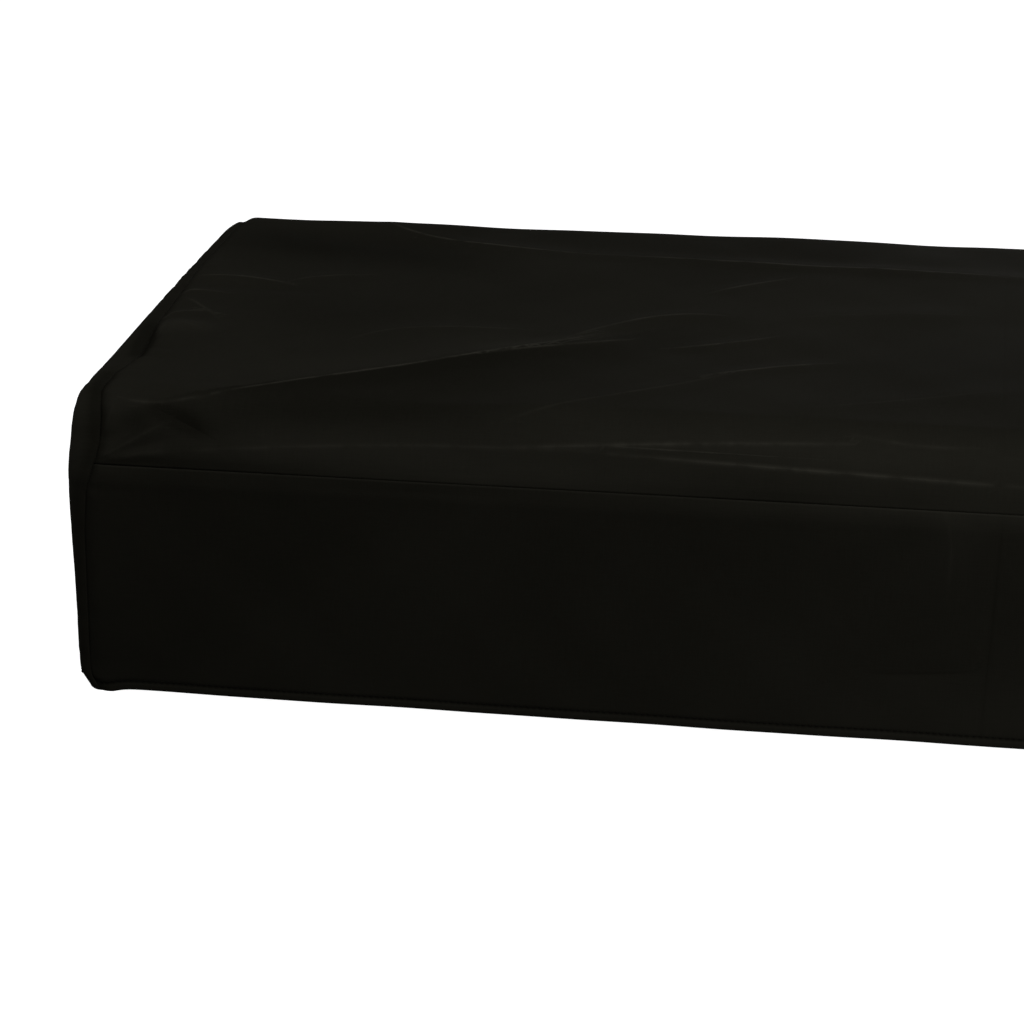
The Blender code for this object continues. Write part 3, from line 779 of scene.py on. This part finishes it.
def cloth_material():
    """Black plain weave with uneven threads, cloudy tone, painted light and shade in patches and by the end
    seams, paler crests along the sharp folds from wear and a painted highlight, and painted shade in their
    troughs.
    """
    material = bpy.data.materials.new("black_cloth_weave")
    material.use_nodes = True
    nodes = Nodes(material.node_tree)
    shader = material.node_tree.nodes["Principled BSDF"]
    cloth = nodes.new("ShaderNodeTexCoord").outputs["UV"]
    place = nodes.new("ShaderNodeTexCoord").outputs["Object"]
    side = nodes.new("ShaderNodeAttribute", attribute_name="crest_side").outputs["Fac"]
    force = nodes.new("ShaderNodeAttribute", attribute_name="crest_force").outputs["Fac"]
    painted_light_and_shade = nodes.new("ShaderNodeAttribute", attribute_name="painted_light_and_shade").outputs["Fac"]

    split = nodes.new("ShaderNodeSeparateXYZ", {0: cloth})
    turn = math.pi / WEAVE_THREAD
    warp = nodes.math("SINE", nodes.math("MULTIPLY", split.outputs["X"], turn))
    weft = nodes.math("SINE", nodes.math("MULTIPLY", split.outputs["Y"], turn))
    weave = nodes.math("MULTIPLY", nodes.math("MULTIPLY", warp, weft), WEAVE_HEIGHT)
    fine, coarse = SLUB_SCALES
    warp_slubs = nodes.noise(nodes.scaled(cloth, (fine, coarse, 0.0)), 1.0)
    weft_slubs = nodes.noise(nodes.scaled(cloth, (coarse, fine, 0.0)), 1.0)
    slubs = nodes.math("ADD", warp_slubs, weft_slubs)
    from_crest = nodes.math("DIVIDE", nodes.math("ABSOLUTE", side), CREST_WIDTH)
    crest = nodes.math("SUBTRACT", 1.0, from_crest, clamp=True)
    crest = nodes.math("MULTIPLY", nodes.math("MULTIPLY", crest, crest), force)
    height = nodes.math("ADD", weave, nodes.math("MULTIPLY", slubs, SLUB_HEIGHT))
    height = nodes.math("ADD", height, nodes.math("MULTIPLY", crest, CREST_HEIGHT))
    bump = nodes.new("ShaderNodeBump", {"Strength": 1.0, "Distance": 1.0, "Height": height})

    clouds = nodes.math("MULTIPLY", nodes.noise(place, CLOUD_SCALE, detail=4.0, roughness=0.6), CLOUD_SHARE)
    tone = nodes.math("ADD", clouds, nodes.math("MULTIPLY", slubs, SLUB_SHARE))
    # The painted light and shade is added to the tone here.
    tone = nodes.math("ADD", nodes.math("ADD", tone, (1 - CLOUD_SHARE) / 2 - SLUB_SHARE), painted_light_and_shade, clamp=True)
    colour = nodes.mix(tone, (*CLOTH_DARK, 1.0), (*CLOTH_LIGHT, 1.0))
    # Paler crests in patches: wear, and a painted highlight along the sharp folds.
    scale, contrast, threshold = WORN_HIGHLIGHT_PATCHES
    patches = nodes.math("MULTIPLY", nodes.noise(place, scale, detail=3.0), contrast)
    worn_and_highlit = nodes.math("MULTIPLY", crest, nodes.math("SUBTRACT", patches, threshold, clamp=True))
    colour = nodes.mix(worn_and_highlit, colour, (*CLOTH_WORN_AND_HIGHLIT, 1.0))
    # Painted shade in the troughs of the sharp folds.
    groove = nodes.math("MULTIPLY", crest, -TROUGH_SHADE_SHARE, clamp=True)
    colour = nodes.mix(groove, colour, (*CLOTH_DARK, 1.0))
    speck = nodes.new("ShaderNodeTexVoronoi", {"Vector": place, "Scale": LINT_SCALE}).outputs["Distance"]
    lint = nodes.math("MULTIPLY", nodes.math("LESS_THAN", speck, LINT_SIZE * LINT_SCALE), LINT_SHARE)
    colour = nodes.mix(lint, colour, (*LINT_COLOUR, 1.0))

    nodes.put(shader.inputs["Base Color"], colour)
    nodes.put(shader.inputs["Normal"], bump.outputs[0])
    shader.inputs["Roughness"].default_value = CLOTH_ROUGHNESS
    shader.inputs["Specular IOR Level"].default_value = CLOTH_SPECULAR
    shader.inputs["Sheen Weight"].default_value = SHEEN_WEIGHT
    shader.inputs["Sheen Roughness"].default_value = SHEEN_ROUGHNESS
    shader.inputs["Sheen Tint"].default_value = SHEEN_TINT
    return material


def thread_material():
    """Black sewing thread, twisted."""
    material = bpy.data.materials.new("black_thread")
    material.use_nodes = True
    nodes = Nodes(material.node_tree)
    shader = material.node_tree.nodes["Principled BSDF"]
    place = nodes.new("ShaderNodeTexCoord").outputs["Object"]
    plies = nodes.noise(nodes.scaled(place, (1.0, 1.0, 2.0)), THREAD_TWIST_SCALE)
    strength, depth = THREAD_TWIST
    bump = nodes.new("ShaderNodeBump", {"Strength": strength, "Distance": depth, "Height": plies})
    nodes.put(shader.inputs["Normal"], bump.outputs[0])
    shader.inputs["Base Color"].default_value = THREAD_COLOUR
    shader.inputs["Roughness"].default_value = CLOTH_ROUGHNESS
    shader.inputs["Specular IOR Level"].default_value = CLOTH_SPECULAR
    return material


def floor():
    """A plain pale floor with a round wall far off, both glowing a little, so that the ground stays white."""
    mesh = bpy.data.meshes.new("studio_floor")
    round_steps = np.linspace(0, 2 * math.pi, FLOOR_SIDES, endpoint=False)
    rim = [
        (FLOOR_RADIUS * math.cos(angle), FLOOR_RADIUS * math.sin(angle), FLOOR_Z + rise)
        for rise in (0.0, WALL_HEIGHT)
        for angle in round_steps
    ]
    after = [(k + 1) % FLOOR_SIDES for k in range(FLOOR_SIDES)]
    wall = [(k, after[k], FLOOR_SIDES + after[k], FLOOR_SIDES + k) for k in range(FLOOR_SIDES)]
    mesh.from_pydata(rim, [], [tuple(range(FLOOR_SIDES)), *wall])
    material = bpy.data.materials.new("studio_floor")
    material.use_nodes = True
    shader = material.node_tree.nodes["Principled BSDF"]
    shader.inputs["Base Color"].default_value = FLOOR_COLOUR
    shader.inputs["Roughness"].default_value = 1.0
    shader.inputs["Specular IOR Level"].default_value = 0.0
    shader.inputs["Emission Color"].default_value = WORLD_COLOUR
    shader.inputs["Emission Strength"].default_value = FLOOR_GLOW
    mesh.materials.append(material)
    obj = bpy.data.objects.new("studio_floor", mesh)
    bpy.context.scene.collection.objects.link(obj)
    obj.visible_diffuse = False
    obj.visible_glossy = False


def studio():
    """Soft lights, a pale surrounding, and the camera at the photo's angle."""
    for name, place, target, size, power in LIGHTS:
        light = bpy.data.lights.new(name, "AREA")
        light.shape = "DISK"
        light.size = size
        light.energy = power
        obj = bpy.data.objects.new(name, light)
        obj.location = place
        obj.rotation_euler = (Vector(place) - Vector(target)).to_track_quat("Z", "Y").to_euler()
        obj.visible_camera = False
        bpy.context.scene.collection.objects.link(obj)
    world = bpy.data.worlds.new("studio")
    world.use_nodes = True
    background = world.node_tree.nodes["Background"]
    background.inputs["Color"].default_value = WORLD_COLOUR
    background.inputs["Strength"].default_value = WORLD_STRENGTH
    bpy.context.scene.world = world
    camera = bpy.data.cameras.new("camera")
    camera.sensor_width = CAMERA_SENSOR
    camera.lens = CAMERA_LENS
    obj = bpy.data.objects.new("camera", camera)
    obj.location = CAMERA_PLACE
    obj.rotation_euler = Euler((math.radians(90 - CAMERA_ELEVATION), 0, math.radians(CAMERA_AZIMUTH)))
    bpy.context.scene.collection.objects.link(obj)
    bpy.context.scene.camera = obj
    bpy.context.scene.view_settings.view_transform = "Standard"


def cover():
    """The five panels, each in place of its solid, and the stitches of the four hems."""
    cloth = cloth_material()
    thread = thread_material()
    top_seam, back_seam, back_hem = PLACE["front_seam"], PLACE["back_seam"], PLACE["back_hem"]
    top_columns, wall_columns = graded(TOP_COLUMNS), graded(WALL_COLUMNS)
    top_rows = stretched(TOP_ROWS, top_seam, back_seam)
    top = wall_grid(top_columns, top_rows, FOLDS, top_seam, SEED, shading_patches=TOP_LIGHT_AND_SHADE_PATCHES)
    front_rows = stretched(WALL_ROWS, HEM_RADIUS, top_seam)
    back_rows = stretched(WALL_ROWS, back_hem - HEM_RADIUS, back_seam)
    front = wall_grid(wall_columns, front_rows, FRONT_FOLDS, 0.0, SEED, hem=0.0, shading_patches=FRONT_LIGHT_AND_SHADE_PATCHES)
    back = wall_grid(wall_columns, back_rows, BACK_FOLDS, back_hem, SEED, hem=back_hem)
    walls = (
        ("front", front, (0, -1, 0)),
        ("back", back, (0, 1, 0)),
        ("left_end", end_grid(-1, SEED), (-1, 0, 0)),
        ("right_end", end_grid(1, SEED + 1), (1, 0, 0)),
    )
    obj = panel("top_cloth", top, (0, 0, 1), cloth)
    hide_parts("top_panel")
    for number, (name, grid, outward) in enumerate(walls):
        grid = turn_up_hem(grid, outward)
        obj = panel(f"{name}_cloth", grid, outward, cloth)
        stitches = hem_stitches(f"{name}_hem_stitches", grid, outward, thread, SEED + number)
        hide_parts(f"{name}_panel")


def main():
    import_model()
    cover()
    floor()
    studio()


main()
